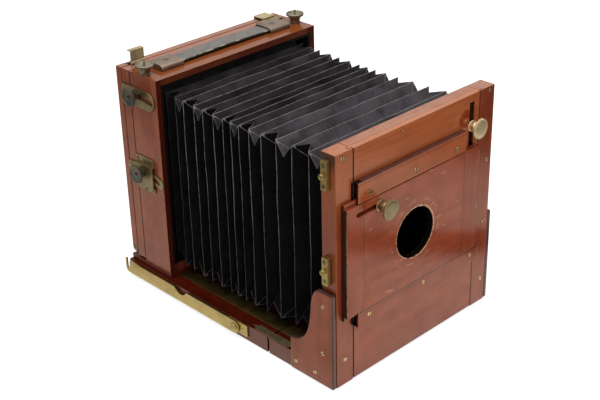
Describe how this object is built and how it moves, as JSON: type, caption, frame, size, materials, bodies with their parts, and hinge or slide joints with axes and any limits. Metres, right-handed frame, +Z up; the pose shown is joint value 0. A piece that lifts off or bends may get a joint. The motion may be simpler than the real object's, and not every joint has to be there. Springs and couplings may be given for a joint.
{
  "type": "tailboard view camera",
  "caption": "Wooden tailboard view camera with pleated bellows, rising and crossing lens board, swing back, folding focusing screen, brass stays and clamp knobs.",
  "frame": {"origin": "under the middle of the bounding box, on the surface the base rests on", "axes": "+X to the right seen from the front, +Y from the lens board towards the focusing screen, +Z up"},
  "size_m": [0.295, 0.4036, 0.3093],
  "materials": {
    "mahogany": "french polished",
    "polished_rail": "glossy dark red polish",
    "brass": "satin, lightly tarnished",
    "old_brass": "dull bluish-grey tarnish",
    "strap_leather": "worn black-green leather",
    "bellows_cloth": "matt black leathercloth",
    "ground_glass": "finely ground"
  },
  "bodies": {
    "root": {"front_stile_left": "mahogany", "front_stile_right": "mahogany", "front_top_rail": "mahogany", "front_bottom_rail": "mahogany", "cheek_left": "mahogany", "cheek_right": "mahogany", "bed_board": "mahogany", "tail_board": "mahogany", "bed_rail_left": "polished_rail", "tail_rail_left": "polished_rail", "upper_stud_block_left": "brass", "lower_stud_block_left": "brass", "front_hinge_leaf_left": "brass", "back_hinge_leaf_left": "brass", "front_rack_left": "brass", "tail_rack_left": "brass", "stay_pivot_plate_left": "brass", "bed_rail_right": "polished_rail", "tail_rail_right": "polished_rail", "upper_stud_block_right": "brass", "lower_stud_block_right": "brass", "front_hinge_leaf_right": "brass", "back_hinge_leaf_right": "brass", "front_rack_right": "brass", "tail_rack_right": "brass", "stay_pivot_plate_right": "brass", "tripod_plate": "brass", "bellows": "bellows_cloth"},
    "rising_front": {"rising_panel": "mahogany", "upper_board_rail": "mahogany", "lower_board_rail": "mahogany"},
    "lens_slide": {"lens_board": "mahogany"},
    "rise_clamp": {"rise_knob": "old_brass"},
    "cross_clamp": {"cross_knob": "brass"},
    "rear_standard": {"rear_frame": "mahogany", "rear_sole": "mahogany", "link_guide_left": "old_brass", "link_guide_right": "old_brass", "handle_cap_left": "old_brass", "handle_cap_right": "old_brass", "handle_strap": "strap_leather"},
    "swing_back": {"swing_frame": "mahogany", "slotted_plate_left": "old_brass", "slotted_plate_right": "old_brass", "swing_link_left": "old_brass", "swing_link_right": "old_brass"},
    "screen": {"screen_frame": "mahogany", "ground_glass": "ground_glass"},
    "focus_drive": {"focus_pinion": "brass", "focus_wheel": "brass"},
    "thumbscrew_left": {"top_thumbscrew_left": "old_brass"},
    "upper_clamp_left": {"upper_knob_left": "old_brass"},
    "mid_clamp_left": {"mid_knob_left": "old_brass"},
    "catch_left": {"catch_left": "old_brass"},
    "stay_left": {"stay_left": "brass"},
    "thumbscrew_right": {"top_thumbscrew_right": "old_brass"},
    "upper_clamp_right": {"upper_knob_right": "old_brass"},
    "mid_clamp_right": {"mid_knob_right": "old_brass"},
    "catch_right": {"catch_right": "old_brass"},
    "stay_right": {"stay_right": "brass"}
  },
  "joints": [
    {"name": "rear_focus", "type": "slide", "parent": "root", "child": "rear_standard", "axis": [0, -1, 0], "range_m": [0, 0.25], "deforming": ["bellows"]},
    {"name": "focus_pinion_turn", "type": "hinge", "parent": "rear_standard", "child": "focus_drive", "pos_m": [0, 0.15651, 0.031], "axis": [1, 0, 0], "range_deg": [0, 1706]},
    {"name": "rising_front_slide", "type": "slide", "parent": "root", "child": "rising_front", "axis": [0, 0, 1], "range_m": [0, 0.018]},
    {"name": "cross_front_slide", "type": "slide", "parent": "rising_front", "child": "lens_slide", "axis": [1, 0, 0], "range_m": [0, 0.03]},
    {"name": "rise_knob_turn", "type": "hinge", "parent": "root", "child": "rise_clamp", "pos_m": [0.091, -0.17449, 0.251], "axis": [0, -1, 0], "range_deg": [0, 180]},
    {"name": "cross_knob_turn", "type": "hinge", "parent": "rising_front", "child": "cross_clamp", "pos_m": [-0.0725, -0.18249, 0.2145], "axis": [0, -1, 0], "range_deg": [0, 180]},
    {"name": "swing_back_tilt", "type": "hinge", "parent": "rear_standard", "child": "swing_back", "pos_m": [0, 0.16951, 0.0315], "axis": [-1, 0, 0], "range_deg": [0, 7]},
    {"name": "screen_fold", "type": "hinge", "parent": "swing_back", "child": "screen", "pos_m": [0, 0.19076, 0.0395], "axis": [-1, 0, 0], "range_deg": [0, 82]},
    {"name": "thumbscrew_turn_left", "type": "hinge", "parent": "rear_standard", "child": "thumbscrew_left", "pos_m": [-0.1245, 0.14701, 0.291], "axis": [0, 0, 1], "range_deg": [0, 180]},
    {"name": "upper_knob_turn_left", "type": "hinge", "parent": "rear_standard", "child": "upper_clamp_left", "pos_m": [-0.1342, 0.15751, 0.264], "axis": [-1, 0, 0], "range_deg": [0, 180]},
    {"name": "mid_knob_turn_left", "type": "hinge", "parent": "rear_standard", "child": "mid_clamp_left", "pos_m": [-0.1362, 0.15651, 0.162], "axis": [-1, 0, 0], "range_deg": [0, 180]},
    {"name": "catch_turn_left", "type": "hinge", "parent": "swing_back", "child": "catch_left", "pos_m": [-0.108, 0.18251, 0.2933], "axis": [-1, 0, 0], "range_deg": [0, 90]},
    {"name": "stay_swing_left", "type": "hinge", "parent": "root", "child": "stay_left", "pos_m": [-0.1401, -0.00999, 0.013], "axis": [1, 0, 0], "range_deg": [0, 137.8]},
    {"name": "thumbscrew_turn_right", "type": "hinge", "parent": "rear_standard", "child": "thumbscrew_right", "pos_m": [0.1245, 0.14701, 0.291], "axis": [0, 0, 1], "range_deg": [0, 180]},
    {"name": "upper_knob_turn_right", "type": "hinge", "parent": "rear_standard", "child": "upper_clamp_right", "pos_m": [0.1342, 0.15751, 0.264], "axis": [1, 0, 0], "range_deg": [0, 180]},
    {"name": "mid_knob_turn_right", "type": "hinge", "parent": "rear_standard", "child": "mid_clamp_right", "pos_m": [0.1362, 0.15651, 0.162], "axis": [1, 0, 0], "range_deg": [0, 180]},
    {"name": "catch_turn_right", "type": "hinge", "parent": "swing_back", "child": "catch_right", "pos_m": [0.108, 0.18251, 0.2933], "axis": [1, 0, 0], "range_deg": [0, 90]},
    {"name": "stay_swing_right", "type": "hinge", "parent": "root", "child": "stay_right", "pos_m": [0.1401, -0.00999, 0.013], "axis": [1, 0, 0], "range_deg": [0, 137.8]}
  ],
  "couplings": [
    {"joint": "focus_pinion_turn", "follows": "rear_focus", "rad_per_m": 119.05}
  ]
}
